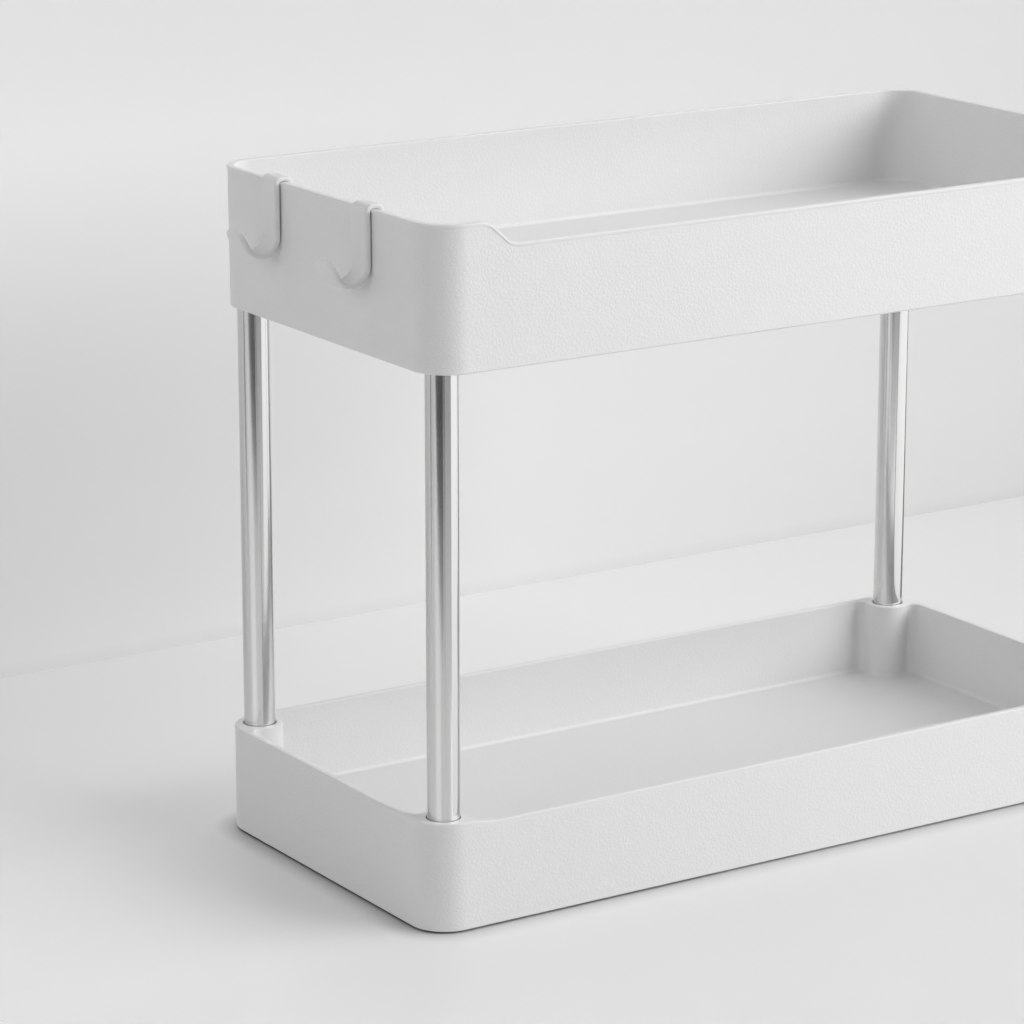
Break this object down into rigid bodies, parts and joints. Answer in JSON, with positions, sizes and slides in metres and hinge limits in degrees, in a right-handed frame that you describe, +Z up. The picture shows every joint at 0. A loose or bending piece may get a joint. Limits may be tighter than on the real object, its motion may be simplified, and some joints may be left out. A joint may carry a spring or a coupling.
{
  "type": "countertop organizer",
  "caption": "Tiered countertop organizer: moulded trays with grained walls on round steel posts, a lowered front lip on the upper tray, and hooks over its end rim.",
  "frame": {"origin": "on the surface that the feet stand on, under the middle of the whole outline, hooks included", "axes": "+X along the trays, away from the end with the hooks; -Y to the front, where the upper tray's lip is lowered; +Z up"},
  "size_m": [0.3598, 0.161, 0.2727],
  "materials": {
    "tray_plastic": "white, fine pebble grain on the walls, smooth rims",
    "hook_plastic": "white, smooth satin",
    "post_steel": "polished stainless tube",
    "plug_plastic": "natural, as moulded",
    "foot_rubber": "matt grey"
  },
  "bodies": {
    "rack": {"lower_tray": "tray_plastic", "upper_tray": "tray_plastic", "post_front_left": "post_steel", "post_front_right": "post_steel", "post_back_right": "post_steel", "post_back_left": "post_steel", "plug_lower_front_left": "plug_plastic", "plug_lower_front_right": "plug_plastic", "plug_lower_back_right": "plug_plastic", "plug_lower_back_left": "plug_plastic", "plug_upper_front_left": "plug_plastic", "plug_upper_front_right": "plug_plastic", "plug_upper_back_right": "plug_plastic", "plug_upper_back_left": "plug_plastic", "foot_front_left": "foot_rubber", "foot_front_right": "foot_rubber", "foot_back_right": "foot_rubber", "foot_back_left": "foot_rubber"},
    "rear_hook": {"hook_rear": "hook_plastic"},
    "front_hook": {"hook_front": "hook_plastic"}
  },
  "joints": [
    {"name": "rear_hook_slide", "type": "slide", "parent": "rack", "child": "rear_hook", "axis": [0, 1, 0], "range_m": [-0.0272, 0.0263]},
    {"name": "front_hook_slide", "type": "slide", "parent": "rack", "child": "front_hook", "axis": [0, 1, 0], "range_m": [-0.0263, 0.0272]}
  ]
}
